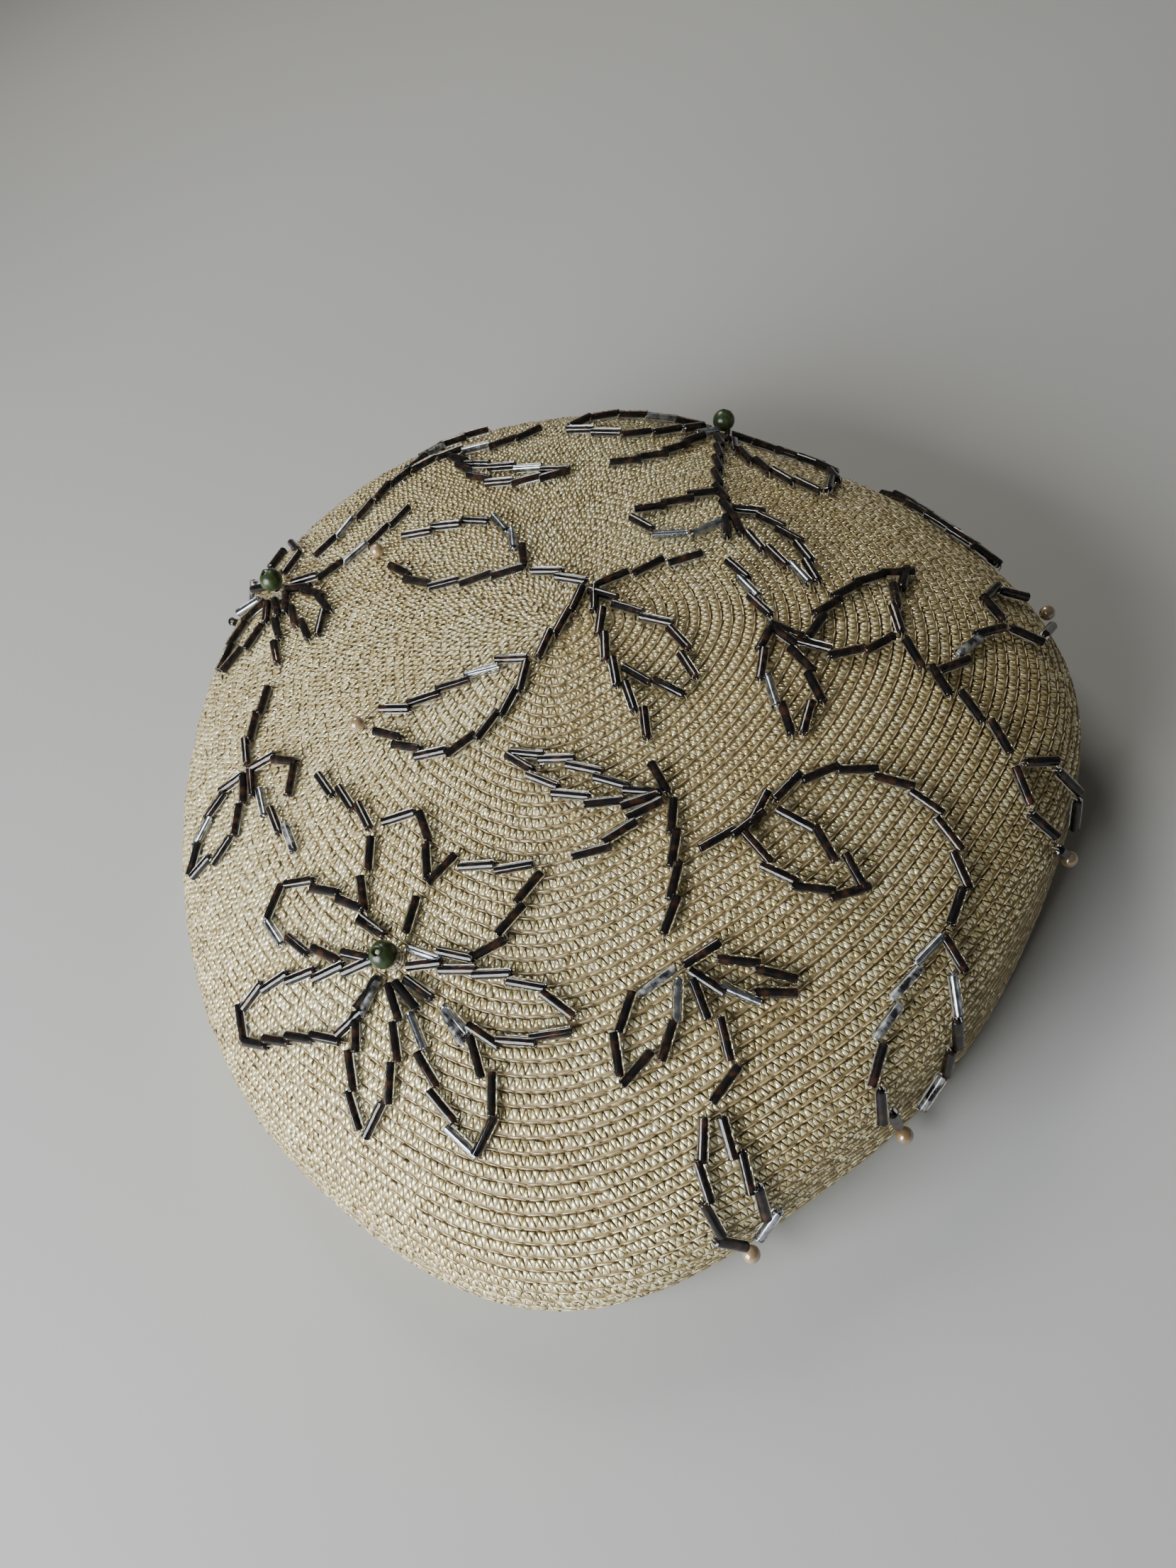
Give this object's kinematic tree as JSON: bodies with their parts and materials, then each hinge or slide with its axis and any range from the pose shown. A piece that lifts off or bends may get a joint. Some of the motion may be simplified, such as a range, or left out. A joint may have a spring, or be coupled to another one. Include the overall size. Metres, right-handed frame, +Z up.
{
  "type": "straw beret",
  "caption": "Hollow straw beret of spiral-sewn plait, trimmed with strings of glass bugle beads in leaves and flowers, round wood beads and pearls.",
  "frame": {"origin": "the middle of the hat's outline, at the level of its rim", "axes": "+Z up through the crown, -Y towards the side with the large flower and the lowest edge, +X to the right of it"},
  "size_m": [0.2167, 0.2389, 0.062],
  "materials": {
    "straw": "satin sewn straw plait",
    "bugle_glass": "clear glass with a dark metallic lining",
    "wood_bead": "satin dark green stain",
    "pearl": "pearl gloss"
  },
  "bodies": {
    "root": {"straw_crown": "straw", "bead_spray_centre": "bugle_glass", "bead_vine_middle": "bugle_glass", "bead_spray_front": "bugle_glass", "bead_sprig_top": "bugle_glass", "bead_sprig_right": "bugle_glass", "bead_spray_right": "bugle_glass", "bead_flower_front": "bugle_glass", "bead_flower_back": "bugle_glass", "bead_vine_back": "bugle_glass", "bead_flower_left": "bugle_glass", "bead_vine_left": "bugle_glass", "wood_bead_front": "wood_bead", "wood_bead_back": "wood_bead", "wood_bead_left": "wood_bead", "pearl_front_rim": "pearl", "pearl_right_rim": "pearl", "pearl_right_side": "pearl", "pearl_centre_leaf": "pearl", "pearl_upper_leaf": "pearl", "pearl_right_back": "pearl"}
  },
  "joints": []
}
